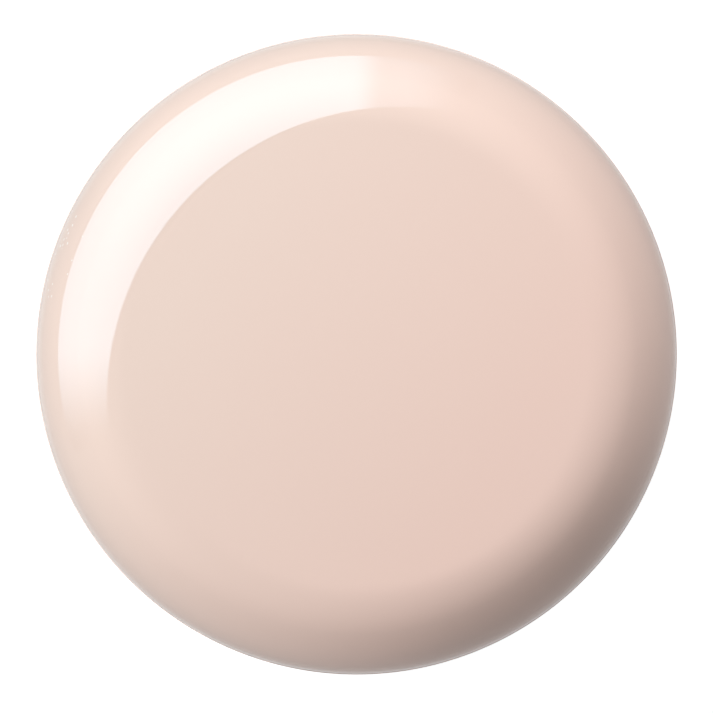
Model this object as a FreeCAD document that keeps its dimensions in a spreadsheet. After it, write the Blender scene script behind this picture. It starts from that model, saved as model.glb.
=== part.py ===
import FreeCAD, Part
import math
import os
import Sketcher
from FreeCAD import Placement, Rotation, Vector

# A squat, round nail polish bottle: threaded glass bottle, screw-on brush
# applicator and a wide, domed, pull-off over-cap.  All lengths are in mm, +Z is
# up, and the origin is the middle of the ring the bottle stands on.

DIMENSIONS = [
    # glass bottle
    ("glass_radius", 16.7, "outside of the glass barrel"),
    ("glass_wall", 2.2, "thickness of the barrel wall"),
    ("glass_floor", 4.5, "height of the inside floor"),
    ("punt_radius", 11.0, "radius of the hollow under the base"),
    ("punt_depth", 0.8, "depth of the hollow under the base"),
    ("punt_slope", 0.5, "run-out of the hollow's side"),
    ("heel_radius", 3.0, "rounding where barrel meets base"),
    ("shoulder_height", 30.0, "flat shoulder the collar sits on"),
    ("shoulder_round", 1.6, "rounding of the outside shoulder"),
    ("floor_round", 4.0, "rounding around the inside floor"),
    ("ceiling_height", 27.6, "underside of the shoulder, inside"),
    ("ceiling_round", 3.0, "rounding under the shoulder, inside"),
    ("neck_radius", 5.75, "outside of the neck, under the thread"),
    ("bore_radius", 3.6, "inside of the neck"),
    ("bore_round", 1.0, "rounding where the bore opens into the barrel"),
    ("rim_height", 44.0, "top face of the neck"),
    ("rim_round", 0.35, "rounding of the two edges of the rim"),
    # screw thread
    ("thread_pitch", 2.117, "rise of the thread in one turn"),
    ("outer_thread_crest", 6.45, "crest radius of the thread on the neck"),
    ("outer_thread_start", 39.9, "height of the middle of its lower end"),
    ("outer_thread_turns", 1.15, "length of the thread on the neck"),
    ("outer_thread_root_width", 1.3, "width at the neck"),
    ("outer_thread_crest_width", 0.6, "width at the crest"),
    ("inner_thread_crest", 5.95, "crest radius of the thread in the cap"),
    ("inner_thread_turns", 0.95, "length of the thread in the cap"),
    ("inner_thread_root_width", 1.2, "width at the skirt"),
    ("inner_thread_crest_width", 0.5, "width at the crest"),
    ("thread_bury", 0.3, "how far a thread runs into the wall it grows from"),
    # polish, label and mixing balls
    ("polish_level", 24.4, "surface of the polish"),
    ("label_radius", 10.0, "base label"),
    ("label_thickness", 0.12, "base label"),
    ("ball_radius", 2.0, "steel mixing ball"),
    ("ball_offset", 8.5, "distance of a resting ball from the axis"),
    # neck collar
    ("collar_radius", 15.0, "outside of the collar"),
    ("collar_height", 4.5, "height of the collar above the shoulder"),
    ("collar_wall", 1.2, "thickness of its skirt, hub and top"),
    ("collar_round", 0.6, "rounding of its top edge"),
    # seals
    ("washer_inner", 3.7, "hole of the rim washer"),
    ("washer_outer", 6.2, "outside of the rim washer"),
    ("washer_thickness", 0.8, "thickness of the rim washer"),
    ("plug_radius", 3.45, "outside of the bore plug"),
    ("plug_lip_radius", 2.9, "tapered lower end of the bore plug"),
    ("plug_taper", 0.8, "height of that taper"),
    ("plug_length", 3.0, "length of the bore plug"),
    ("plug_clearance", 0.05, "gap between the plug and the stem"),
    # brush stem
    ("stem_radius", 2.0, "shaft of the stem"),
    ("stem_bottom", 16.0, "lower end of the stem"),
    ("stem_flange_radius", 6.2, "sealing flange of the stem"),
    ("stem_flange_thickness", 1.2, "sealing flange of the stem"),
    ("stem_tail_length", 6.0, "tail held in the boss of the cap"),
    ("stem_barb_radius", 2.3, "snap bead around the tail"),
    ("stem_barb_height", 2.6, "height of the bead above the flange"),
    ("stem_barb_half", 0.5, "half the width of the bead"),
    ("socket_radius", 1.4, "socket the bristles are set in"),
    ("socket_depth", 3.4, "depth of that socket"),
    ("stem_tip_chamfer", 0.3, "bevel around the mouth of the stem"),
    # bristles and their anchor
    ("tuft_tip", 5.6, "lowest point of the bristles"),
    ("tuft_tip_width", 2.8, "width of the bristles at the tip"),
    ("tuft_tip_depth", 0.8, "depth of the bristles at the tip"),
    ("tuft_low", 6.6, "height of the rounded tip's upper edge"),
    ("tuft_low_width", 4.0, "width there"),
    ("tuft_low_depth", 1.5, "depth there"),
    ("tuft_mid", 9.5, "height of the widest place"),
    ("tuft_mid_width", 4.4, "width there"),
    ("tuft_mid_depth", 2.2, "depth there"),
    ("tuft_high", 13.5, "height of the waist below the stem"),
    ("tuft_high_width", 3.4, "width there"),
    ("tuft_high_depth", 2.6, "depth there"),
    ("anchor_width", 2.4, "metal plate the bristles are folded over"),
    ("anchor_thickness", 0.3, "metal plate"),
    ("anchor_height", 1.6, "metal plate"),
    ("anchor_bottom", 17.2, "lower edge of the metal plate"),
    # inner cap
    ("inner_cap_radius", 8.0, "outside of the inner cap"),
    ("inner_cap_bottom", 35.2, "lower edge of its skirt"),
    ("inner_cap_top", 57.5, "top face"),
    ("inner_cap_bore", 6.75, "inside of the skirt"),
    ("inner_cap_hollow", 5.7, "hollow above the stem flange"),
    ("inner_cap_roof", 1.5, "thickness of the top"),
    ("inner_cap_round", 1.0, "rounding of the top edge"),
    ("boss_radius", 3.4, "tube that holds the tail of the stem"),
    ("rib_count", 24, "grip ribs around the inner cap"),
    ("rib_radius", 8.3, "crest of a rib"),
    ("rib_root_width", 1.1, "width of a rib at the wall"),
    ("rib_crest_width", 0.5, "width of a rib at its crest"),
    ("rib_bottom", 36.4, "lower end of the ribs"),
    ("rib_length", 15.2, "length of the ribs"),
    # grip ring (O-ring)
    ("ring_height", 54.0, "height of the O-ring"),
    ("ring_radius", 7.75, "centre line of the O-ring"),
    ("ring_section", 0.6, "section radius of the O-ring"),
    # over-cap
    ("sleeve_radius", 17.0, "outside of the sleeve, the widest place"),
    ("sleeve_bottom", 31.2, "lower edge of the sleeve"),
    ("sleeve_top", 53.6, "top edge of the sleeve, foot of the dome"),
    ("sleeve_inner", 15.3, "inside of the sleeve around the collar"),
    ("sleeve_ledge", 49.0, "ledge the insert sits on"),
    ("sleeve_counterbore", 15.65, "inside of the sleeve above the ledge"),
    ("trim_height", 2.2, "metal band around the lower edge"),
    ("trim_thickness", 0.8, "metal band around the lower edge"),
    ("trim_edge", 0.2, "bevel on the outer edges of the band"),
    ("sleeve_mouth_chamfer", 0.5, "lead-in inside the lower edge"),
    ("insert_bore", 8.45, "tube that grips the inner cap"),
    ("insert_radius", 9.7, "outside of that tube"),
    ("insert_bottom", 41.0, "lower end of that tube"),
    ("insert_plate", 1.4, "thickness of the top of the tube"),
    ("insert_flange", 1.6, "flange between tube and sleeve"),
    ("weight_inner", 9.8, "hole of the steel weight"),
    ("weight_outer", 14.0, "outside of the steel weight"),
    ("weight_height", 5.0, "height of the steel weight"),
    ("weight_chamfer", 0.4, "bevel on the weight"),
    ("pad_radius", 7.5, "foam pad under the dome"),
    # dome
    ("dome_radius", 16.9, "foot of the dome"),
    ("dome_height", 8.15, "height of the dome above the sleeve"),
    ("dome_crown", 126.0, "radius of the gently curved crown"),
    ("dome_roll", 3.8, "radius where the crown rolls over"),
    ("dome_side", 9.7, "radius of the flank, vertical at the foot"),
    ("dome_wall", 1.6, "thickness of the crown"),
    ("spigot_inner", 14.2, "inside of the spigot pressed into the sleeve"),
    ("spigot_chamfer", 0.3, "bevel on the lower edge of the spigot"),
]

doc = FreeCAD.newDocument("NailPolishBottle")
sheet = doc.addObject("Spreadsheet::Sheet", "Dimensions")


class Size:
    """A length together with the spreadsheet expression that drives it."""

    def __init__(self, value, text):
        self.value = value
        self.text = text

    def __add__(self, other):
        other = as_size(other)
        return Size(self.value + other.value, f"({self.text} + {other.text})")

    def __sub__(self, other):
        other = as_size(other)
        return Size(self.value - other.value, f"({self.text} - {other.text})")

    def __mul__(self, factor):
        factor = as_size(factor)
        return Size(self.value * factor.value, f"({self.text} * {factor.text})")

    def __truediv__(self, divisor):
        divisor = as_size(divisor)
        return Size(self.value / divisor.value, f"({self.text} / {divisor.text})")

    def __neg__(self):
        return Size(-self.value, f"(-{self.text})")


def as_size(number):
    if isinstance(number, Size):
        return number
    return Size(number, str(number))


class Dimensions:
    """The driving dimensions, one attribute for each row of the sheet."""

    def __init__(self, rows):
        for row, (name, value, note) in enumerate(rows, start=1):
            sheet.set(f"A{row}", note)
            sheet.set(f"B{row}", str(value))
            sheet.setAlias(f"B{row}", name)
            setattr(self, name, Size(value, f"{sheet.Name}.{name}"))
        doc.recompute()


dim = Dimensions(DIMENSIONS)
AXIS = Size(0.0, "0")
GROUND = Size(0.0, "0")
SNAP = 1e-4


# ---------------------------------------------------------------- helpers

def new_body(name):
    body = doc.addObject("PartDesign::Body", name)
    body.Label = name
    return body


def bind(target, prop, size):
    """Give a property its value and tie it to the spreadsheet."""
    if "." not in prop:
        setattr(target, prop, size.value)
    target.setExpression(prop, size.text)


def new_sketch(body, name, role):
    """An empty sketch on one of the body's own origin planes."""
    plane = next(item for item in body.Origin.OriginFeatures if item.Role == role)
    sketch = body.newObject("Sketcher::SketchObject", name)
    sketch.AttachmentSupport = [(plane, "")]
    sketch.MapMode = "FlatFace"
    return sketch


def level_sketch(body, name, height):
    """An empty horizontal sketch at the given height."""
    sketch = new_sketch(body, name, "XY_Plane")
    sketch.AttachmentOffset = Placement(Vector(0, 0, height.value), Rotation())
    sketch.setExpression("AttachmentOffset.Base.z", height.text)
    return sketch


def pin_coordinate(sketch, kind, axis_line, geometry, point, size):
    """Fix one coordinate of a sketch point to a driven value."""
    if abs(size.value) < SNAP:
        sketch.addConstraint(Sketcher.Constraint("PointOnObject", geometry, point, axis_line))
        return
    index = sketch.addConstraint(
        Sketcher.Constraint(kind, -1, 1, geometry, point, size.value))
    sketch.setExpression(f"Constraints[{index}]", size.text)


def pin_point(sketch, geometry, point, across, up):
    pin_coordinate(sketch, "DistanceX", -2, geometry, point, across)
    pin_coordinate(sketch, "DistanceY", -1, geometry, point, up)


def pin_radius(sketch, geometry, size):
    index = sketch.addConstraint(Sketcher.Constraint("Radius", geometry, size.value))
    sketch.setExpression(f"Constraints[{index}]", size.text)


def draw_polygon(sketch, corners):
    """A closed outline whose corners are all driven."""
    spots = [Vector(across.value, up.value, 0) for across, up in corners]
    count = len(spots)
    lines = [sketch.addGeometry(Part.LineSegment(spots[i], spots[(i + 1) % count]), False)
             for i in range(count)]
    for i in range(count):
        following = lines[(i + 1) % count]
        sketch.addConstraint(Sketcher.Constraint("Coincident", lines[i], 2, following, 1))
    for line, (across, up) in zip(lines, corners):
        pin_point(sketch, line, 1, across, up)


def turn(body, name, corners, feature="PartDesign::Revolution"):
    """Turn a closed outline of (radius, height) corners around the Z axis."""
    sketch = new_sketch(body, f"{name}_outline", "XZ_Plane")
    draw_polygon(sketch, corners)
    return turn_sketch(body, name, sketch, feature)


def turn_sketch(body, name, sketch, feature="PartDesign::Revolution"):
    doc.recompute()
    solid = body.newObject(feature, name)
    solid.Profile = sketch
    solid.ReferenceAxis = (sketch, ["V_Axis"])
    solid.Angle = 360
    body.Tip = solid
    doc.recompute()
    return solid


def ring_edges(solid, radius, height):
    """Names of the full circles of one radius at one height."""
    names = []
    for number, edge in enumerate(solid.Shape.Edges, start=1):
        if edge.Degenerated or not isinstance(edge.Curve, Part.Circle):
            continue
        curve = edge.Curve
        same_radius = abs(curve.Radius - radius.value) < SNAP
        same_height = abs(curve.Center.z - height.value) < SNAP
        if same_radius and same_height:
            names.append(f"Edge{number}")
    if not names:
        raise RuntimeError(f"{solid.Name}: no ring r={radius.value} z={height.value}")
    return names


def ease(body, name, feature, prop, rings, size):
    """Fillet or chamfer the rings given as (radius, height) pairs."""
    base = body.Tip
    names = []
    for radius, height in rings:
        names.extend(ring_edges(base, radius, height))
    result = body.newObject(feature, name)
    result.Base = (base, names)
    bind(result, prop, size)
    body.Tip = result
    doc.recompute()
    return result


def fillet(body, name, rings, size):
    return ease(body, name, "PartDesign::Fillet", "Radius", rings, size)


def chamfer(body, name, rings, size):
    return ease(body, name, "PartDesign::Chamfer", "Size", rings, size)


def add_thread(body, name, root, crest, start, widths, turns):
    """A right-handed ridge that winds upwards from the +X side."""
    root_width, crest_width = widths
    sketch = new_sketch(body, f"{name}_section", "XZ_Plane")
    draw_polygon(sketch, [
        (root, start - root_width / 2),
        (crest, start - crest_width / 2),
        (crest, start + crest_width / 2),
        (root, start + root_width / 2),
    ])
    doc.recompute()
    helix = body.newObject("PartDesign::AdditiveHelix", name)
    helix.Profile = sketch
    helix.ReferenceAxis = (sketch, ["V_Axis"])
    helix.Mode = "pitch-turns-angle"
    bind(helix, "Pitch", dim.thread_pitch)
    bind(helix, "Turns", turns)
    body.Tip = helix
    doc.recompute()
    return helix


# ---------------------------------------------------------------- bottle

def glass_bottle():
    body = new_body("glass_bottle")
    inner = dim.glass_radius - dim.glass_wall
    turn(body, "glass_wall", [
        (AXIS, dim.punt_depth),
        (dim.punt_radius, dim.punt_depth),
        (dim.punt_radius + dim.punt_slope, GROUND),
        (dim.glass_radius, GROUND),
        (dim.glass_radius, dim.shoulder_height),
        (dim.neck_radius, dim.shoulder_height),
        (dim.neck_radius, dim.rim_height),
        (dim.bore_radius, dim.rim_height),
        (dim.bore_radius, dim.ceiling_height),
        (inner, dim.ceiling_height),
        (inner, dim.glass_floor),
        (AXIS, dim.glass_floor),
    ])
    fillet(body, "heel", [(dim.glass_radius, GROUND)], dim.heel_radius)
    fillet(body, "shoulder", [(dim.glass_radius, dim.shoulder_height)], dim.shoulder_round)
    fillet(body, "inside_floor", [(inner, dim.glass_floor)], dim.floor_round)
    fillet(body, "inside_ceiling", [(inner, dim.ceiling_height)], dim.ceiling_round)
    fillet(body, "bore_mouth", [(dim.bore_radius, dim.ceiling_height)], dim.bore_round)
    rim = [(dim.bore_radius, dim.rim_height), (dim.neck_radius, dim.rim_height)]
    fillet(body, "rim", rim, dim.rim_round)
    add_thread(body, "neck_thread", dim.neck_radius - dim.thread_bury,
               dim.outer_thread_crest, dim.outer_thread_start,
               (dim.outer_thread_root_width, dim.outer_thread_crest_width),
               dim.outer_thread_turns)
    return body


def base_label():
    body = new_body("base_label")
    under = dim.punt_depth - dim.label_thickness
    turn(body, "label_disc", [
        (AXIS, under),
        (dim.label_radius, under),
        (dim.label_radius, dim.punt_depth),
        (AXIS, dim.punt_depth),
    ])
    return body


def neck_collar():
    """A plated cover over the shoulder: skirt, flat top and a hub around the neck."""
    body = new_body("neck_collar")
    top = dim.shoulder_height + dim.collar_height
    turn(body, "collar_shell", [
        (dim.neck_radius, dim.shoulder_height),
        (dim.neck_radius + dim.collar_wall, dim.shoulder_height),
        (dim.neck_radius + dim.collar_wall, top - dim.collar_wall),
        (dim.collar_radius - dim.collar_wall, top - dim.collar_wall),
        (dim.collar_radius - dim.collar_wall, dim.shoulder_height),
        (dim.collar_radius, dim.shoulder_height),
        (dim.collar_radius, top),
        (dim.neck_radius, top),
    ])
    fillet(body, "collar_edge", [(dim.collar_radius, top)], dim.collar_round)
    return body


def mixing_ball(name, side):
    ball = doc.addObject("Part::Sphere", name)
    ball.Label = name
    ball.Placement = Placement(
        Vector(side * dim.ball_offset.value, 0, (dim.glass_floor + dim.ball_radius).value),
        Rotation())
    bind(ball, "Radius", dim.ball_radius)
    ball.setExpression("Placement.Base.x", (dim.ball_offset * side).text)
    ball.setExpression("Placement.Base.z", (dim.glass_floor + dim.ball_radius).text)
    doc.recompute()
    return ball


def polish(dipped):
    """Polish that fills the barrel around the things dipped in it."""
    inner = dim.glass_radius - dim.glass_wall
    body = new_body("polish_fill")
    turn(body, "polish_charge", [
        (AXIS, dim.glass_floor),
        (inner, dim.glass_floor),
        (inner, dim.polish_level),
        (AXIS, dim.polish_level),
    ])
    fillet(body, "polish_foot", [(inner, dim.glass_floor)], dim.floor_round)
    tools = doc.addObject("Part::MultiFuse", "dipped_things")
    tools.Shapes = dipped
    liquid = doc.addObject("Part::Cut", "polish")
    liquid.Label = "polish"
    liquid.Base = body
    liquid.Tool = tools
    doc.recompute()
    return liquid


# ---------------------------------------------------------------- seals

def sealing_washer():
    body = new_body("sealing_washer")
    top = dim.rim_height + dim.washer_thickness
    turn(body, "washer_ring", [
        (dim.washer_inner, dim.rim_height),
        (dim.washer_outer, dim.rim_height),
        (dim.washer_outer, top),
        (dim.washer_inner, top),
    ])
    return body


def plug_seal():
    body = new_body("plug_seal")
    top = dim.rim_height + dim.washer_thickness
    bottom = top - dim.plug_length
    bore = dim.stem_radius + dim.plug_clearance
    turn(body, "plug_tube", [
        (bore, bottom),
        (dim.plug_lip_radius, bottom),
        (dim.plug_radius, bottom + dim.plug_taper),
        (dim.plug_radius, top),
        (bore, top),
    ])
    return body


# ---------------------------------------------------------------- applicator

def brush_stem():
    body = new_body("brush_stem")
    flange = dim.rim_height + dim.washer_thickness
    flange_top = flange + dim.stem_flange_thickness
    barb = flange_top + dim.stem_barb_height
    tail = flange_top + dim.stem_tail_length
    socket_top = dim.stem_bottom + dim.socket_depth
    turn(body, "stem_shaft", [
        (dim.socket_radius, dim.stem_bottom),
        (dim.stem_radius, dim.stem_bottom),
        (dim.stem_radius, flange),
        (dim.stem_flange_radius, flange),
        (dim.stem_flange_radius, flange_top),
        (dim.stem_radius, flange_top),
        (dim.stem_radius, barb - dim.stem_barb_half),
        (dim.stem_barb_radius, barb),
        (dim.stem_radius, barb + dim.stem_barb_half),
        (dim.stem_radius, tail),
        (AXIS, tail),
        (AXIS, socket_top),
        (dim.socket_radius, socket_top),
    ])
    chamfer(body, "stem_mouth", [(dim.stem_radius, dim.stem_bottom)], dim.stem_tip_chamfer)
    return body


def draw_ellipse(sketch, width, depth):
    """An ellipse on the origin, its long axis along the sketch's first axis."""
    ellipse = Part.Ellipse(Vector(0, 0, 0), width.value / 2, depth.value / 2)
    shape = sketch.addGeometry(ellipse, False)
    sketch.exposeInternalGeometry(shape)
    major, minor = shape + 1, shape + 2
    sketch.addConstraint(Sketcher.Constraint("Coincident", shape, 3, -1, 1))
    sketch.addConstraint(Sketcher.Constraint("PointOnObject", major, 1, -1))
    for line, size in ((major, width), (minor, depth)):
        index = sketch.addConstraint(Sketcher.Constraint("Distance", line, size.value))
        sketch.setExpression(f"Constraints[{index}]", size.text)


def draw_circle(sketch, radius):
    circle = Part.Circle(Vector(0, 0, 0), Vector(0, 0, 1), radius.value)
    shape = sketch.addGeometry(circle, False)
    sketch.addConstraint(Sketcher.Constraint("Coincident", shape, 3, -1, 1))
    pin_radius(sketch, shape, radius)


def brush_tuft():
    """Bristles: a round root in the stem, spreading to a flat rounded tip."""
    body = new_body("brush_tuft")
    root = level_sketch(body, "root_circle", dim.stem_bottom)
    draw_circle(root, dim.socket_radius)
    doc.recompute()
    pad = body.newObject("PartDesign::Pad", "tuft_root")
    pad.Profile = root
    bind(pad, "Length", dim.socket_depth)
    body.Tip = pad
    doc.recompute()
    mouth = level_sketch(body, "mouth_circle", dim.stem_bottom)
    draw_circle(mouth, dim.socket_radius)
    levels = [
        (dim.tuft_high, dim.tuft_high_width, dim.tuft_high_depth),
        (dim.tuft_mid, dim.tuft_mid_width, dim.tuft_mid_depth),
        (dim.tuft_low, dim.tuft_low_width, dim.tuft_low_depth),
        (dim.tuft_tip, dim.tuft_tip_width, dim.tuft_tip_depth),
    ]
    sections = []
    for number, (height, width, depth) in enumerate(levels, start=1):
        section = level_sketch(body, f"spread_{number}", height)
        draw_ellipse(section, width, depth)
        sections.append(section)
    doc.recompute()
    loft = body.newObject("PartDesign::AdditiveLoft", "tuft_spread")
    loft.Profile = mouth
    loft.Sections = sections
    body.Tip = loft
    doc.recompute()
    slot = level_sketch(body, "anchor_slot_outline", dim.anchor_bottom)
    draw_plate_outline(slot)
    doc.recompute()
    pocket = body.newObject("PartDesign::Pocket", "anchor_slot")
    pocket.Profile = slot
    pocket.Reversed = True
    bind(pocket, "Length", dim.anchor_height)
    body.Tip = pocket
    doc.recompute()
    return body


def draw_plate_outline(sketch):
    half_width = dim.anchor_width / 2
    half_depth = dim.anchor_thickness / 2
    draw_polygon(sketch, [
        (-half_width, -half_depth),
        (half_width, -half_depth),
        (half_width, half_depth),
        (-half_width, half_depth),
    ])


def brush_anchor():
    body = new_body("brush_anchor")
    outline = level_sketch(body, "plate_outline", dim.anchor_bottom)
    draw_plate_outline(outline)
    doc.recompute()
    plate = body.newObject("PartDesign::Pad", "plate")
    plate.Profile = outline
    bind(plate, "Length", dim.anchor_height)
    body.Tip = plate
    doc.recompute()
    return body


def inner_cap():
    """Ribbed screw cap with a boss that grips the tail of the stem."""
    body = new_body("inner_cap")
    seat = dim.rim_height + dim.washer_thickness + dim.stem_flange_thickness
    roof = dim.inner_cap_top - dim.inner_cap_roof
    barb = seat + dim.stem_barb_height
    socket_top = seat + dim.stem_tail_length
    turn(body, "cap_shell", [
        (dim.inner_cap_bore, dim.inner_cap_bottom),
        (dim.inner_cap_radius, dim.inner_cap_bottom),
        (dim.inner_cap_radius, dim.inner_cap_top),
        (AXIS, dim.inner_cap_top),
        (AXIS, socket_top),
        (dim.stem_radius, socket_top),
        (dim.stem_radius, barb + dim.stem_barb_half),
        (dim.stem_barb_radius, barb),
        (dim.stem_radius, barb - dim.stem_barb_half),
        (dim.stem_radius, seat),
        (dim.boss_radius, seat),
        (dim.boss_radius, roof),
        (dim.inner_cap_hollow, roof),
        (dim.inner_cap_hollow, seat),
        (dim.inner_cap_bore, seat),
    ])
    fillet(body, "cap_top_edge", [(dim.inner_cap_radius, dim.inner_cap_top)],
           dim.inner_cap_round)
    turn(body, "ring_groove", [
        (dim.ring_radius - dim.ring_section, dim.ring_height - dim.ring_section),
        (dim.rib_radius, dim.ring_height - dim.ring_section),
        (dim.rib_radius, dim.ring_height + dim.ring_section),
        (dim.ring_radius - dim.ring_section, dim.ring_height + dim.ring_section),
    ], "PartDesign::Groove")
    start = dim.outer_thread_start - dim.thread_pitch / 2
    add_thread(body, "cap_thread", dim.inner_cap_bore + dim.thread_bury,
               dim.inner_thread_crest, start,
               (dim.inner_thread_root_width, dim.inner_thread_crest_width),
               dim.inner_thread_turns)
    add_ribs(body)
    return body


def add_ribs(body):
    inside = dim.inner_cap_radius - dim.thread_bury
    outline = level_sketch(body, "rib_outline", dim.rib_bottom)
    draw_polygon(outline, [
        (inside, -dim.rib_root_width / 2),
        (dim.inner_cap_radius, -dim.rib_root_width / 2),
        (dim.rib_radius, -dim.rib_crest_width / 2),
        (dim.rib_radius, dim.rib_crest_width / 2),
        (dim.inner_cap_radius, dim.rib_root_width / 2),
        (inside, dim.rib_root_width / 2),
    ])
    doc.recompute()
    rib = body.newObject("PartDesign::Pad", "rib")
    rib.Profile = outline
    bind(rib, "Length", dim.rib_length)
    body.Tip = rib
    doc.recompute()
    ribs = body.newObject("PartDesign::PolarPattern", "ribs")
    ribs.Originals = [rib]
    ribs.Axis = (outline, ["N_Axis"])
    ribs.Angle = 360
    ribs.Occurrences = dim.rib_count.value
    ribs.setExpression("Occurrences", dim.rib_count.text)
    body.Tip = ribs
    doc.recompute()


def grip_ring():
    ring = doc.addObject("Part::Torus", "grip_ring")
    ring.Label = "grip_ring"
    bind(ring, "Radius1", dim.ring_radius)
    bind(ring, "Radius2", dim.ring_section)
    ring.Placement = Placement(Vector(0, 0, dim.ring_height.value), Rotation())
    ring.setExpression("Placement.Base.z", dim.ring_height.text)
    doc.recompute()
    return ring


# ---------------------------------------------------------------- over-cap

def over_cap_sleeve():
    body = new_body("over_cap_sleeve")
    trim_top = dim.sleeve_bottom + dim.trim_height
    rebate = dim.sleeve_radius - dim.trim_thickness
    turn(body, "sleeve_wall", [
        (dim.sleeve_inner, dim.sleeve_bottom),
        (rebate, dim.sleeve_bottom),
        (rebate, trim_top),
        (dim.sleeve_radius, trim_top),
        (dim.sleeve_radius, dim.sleeve_top),
        (dim.sleeve_counterbore, dim.sleeve_top),
        (dim.sleeve_counterbore, dim.sleeve_ledge),
        (dim.sleeve_inner, dim.sleeve_ledge),
    ])
    chamfer(body, "sleeve_mouth", [(dim.sleeve_inner, dim.sleeve_bottom)],
            dim.sleeve_mouth_chamfer)
    return body


def trim_ring():
    body = new_body("trim_ring")
    top = dim.sleeve_bottom + dim.trim_height
    inner = dim.sleeve_radius - dim.trim_thickness
    turn(body, "trim_band", [
        (inner, dim.sleeve_bottom),
        (dim.sleeve_radius, dim.sleeve_bottom),
        (dim.sleeve_radius, top),
        (inner, top),
    ])
    edges = [(dim.sleeve_radius, dim.sleeve_bottom), (dim.sleeve_radius, top)]
    chamfer(body, "trim_edges", edges, dim.trim_edge)
    return body


def cap_insert():
    """Moulded tube that slides over the inner cap, with a flange to the sleeve."""
    body = new_body("cap_insert")
    plate_top = dim.inner_cap_top + dim.insert_plate
    turn(body, "insert_shell", [
        (dim.insert_bore, dim.insert_bottom),
        (dim.insert_radius, dim.insert_bottom),
        (dim.insert_radius, dim.sleeve_ledge),
        (dim.sleeve_counterbore, dim.sleeve_ledge),
        (dim.sleeve_counterbore, dim.sleeve_ledge + dim.insert_flange),
        (dim.insert_radius, dim.sleeve_ledge + dim.insert_flange),
        (dim.insert_radius, plate_top),
        (AXIS, plate_top),
        (AXIS, dim.inner_cap_top),
        (dim.insert_bore, dim.inner_cap_top),
    ])
    chamfer(body, "insert_mouth", [(dim.insert_bore, dim.insert_bottom)],
            dim.sleeve_mouth_chamfer)
    return body


def cap_weight():
    body = new_body("cap_weight")
    bottom = dim.sleeve_ledge + dim.insert_flange
    top = bottom + dim.weight_height
    turn(body, "weight_ring", [
        (dim.weight_inner, bottom),
        (dim.weight_outer, bottom),
        (dim.weight_outer, top),
        (dim.weight_inner, top),
    ])
    edges = [(dim.weight_inner, bottom), (dim.weight_outer, top)]
    chamfer(body, "weight_edges", edges, dim.weight_chamfer)
    return body


def foam_pad():
    """Pad between the insert and the underside of the crown."""
    body = new_body("foam_pad")
    bottom = dim.inner_cap_top + dim.insert_plate
    edge = math.sqrt((dim.dome_crown - dim.dome_wall).value ** 2 - dim.pad_radius.value ** 2)
    centre = (dim.sleeve_top + dim.dome_height - dim.dome_crown).value
    thickness = Size(centre + edge - bottom.value, pad_thickness_text())
    turn(body, "pad_disc", [
        (AXIS, bottom),
        (dim.pad_radius, bottom),
        (dim.pad_radius, bottom + thickness),
        (AXIS, bottom + thickness),
    ])
    return body


def pad_thickness_text():
    """Height left under the crown at the edge of the pad."""
    hollow = (dim.dome_crown - dim.dome_wall).text
    centre = dim.sleeve_top + dim.dome_height - dim.dome_crown
    bottom = dim.inner_cap_top + dim.insert_plate
    edge = f"sqrt({hollow} * {hollow} - {dim.pad_radius.text} * {dim.pad_radius.text})"
    return f"({(centre - bottom).text} + {edge})"


def dome_centres():
    """Centres of the three arcs that make the dome, as (radius, height) pairs."""
    crown = (0.0, (dim.sleeve_top + dim.dome_height - dim.dome_crown).value)
    side = ((dim.dome_radius - dim.dome_side).value, dim.sleeve_top.value)
    to_crown = (dim.dome_crown - dim.dome_roll).value
    to_side = (dim.dome_side - dim.dome_roll).value
    across, up = side[0] - crown[0], side[1] - crown[1]
    apart = math.hypot(across, up)
    along = (to_crown ** 2 - to_side ** 2 + apart ** 2) / (2 * apart)
    off = math.sqrt(to_crown ** 2 - along ** 2)
    roll = (crown[0] + (along * across + off * up) / apart,
            crown[1] + (along * up - off * across) / apart)
    mirrored = (crown[0] + (along * across - off * up) / apart,
                crown[1] + (along * up + off * across) / apart)
    return crown, max(roll, mirrored), side


def draw_dome_arcs(sketch, inset, side_start):
    """Crown, roll and side arcs below the outside of the dome; returns the two end arcs."""
    crown, roll, side = dome_centres()
    roll_start = math.atan2(roll[1] - side[1], roll[0] - side[0])
    roll_end = math.atan2(roll[1] - crown[1], roll[0] - crown[0])
    specs = [
        (side, dim.dome_side - inset, side_start, roll_start),
        (roll, dim.dome_roll - inset, roll_start, roll_end),
        (crown, dim.dome_crown - inset, roll_end, math.pi / 2),
    ]
    arcs = []
    for centre, radius, start, end in specs:
        circle = Part.Circle(Vector(centre[0], centre[1], 0), Vector(0, 0, 1), radius.value)
        arc = sketch.addGeometry(Part.ArcOfCircle(circle, start, end), False)
        pin_radius(sketch, arc, radius)
        arcs.append(arc)
    side_arc, roll_arc, crown_arc = arcs
    pin_point(sketch, side_arc, 3, dim.dome_radius - dim.dome_side, dim.sleeve_top)
    pin_point(sketch, crown_arc, 3, AXIS,
              dim.sleeve_top + dim.dome_height - dim.dome_crown)
    sketch.addConstraint(Sketcher.Constraint("Tangent", side_arc, 2, roll_arc, 1))
    sketch.addConstraint(Sketcher.Constraint("Tangent", roll_arc, 2, crown_arc, 1))
    sketch.addConstraint(Sketcher.Constraint("PointOnObject", crown_arc, 2, -2))
    return side_arc, crown_arc


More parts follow.
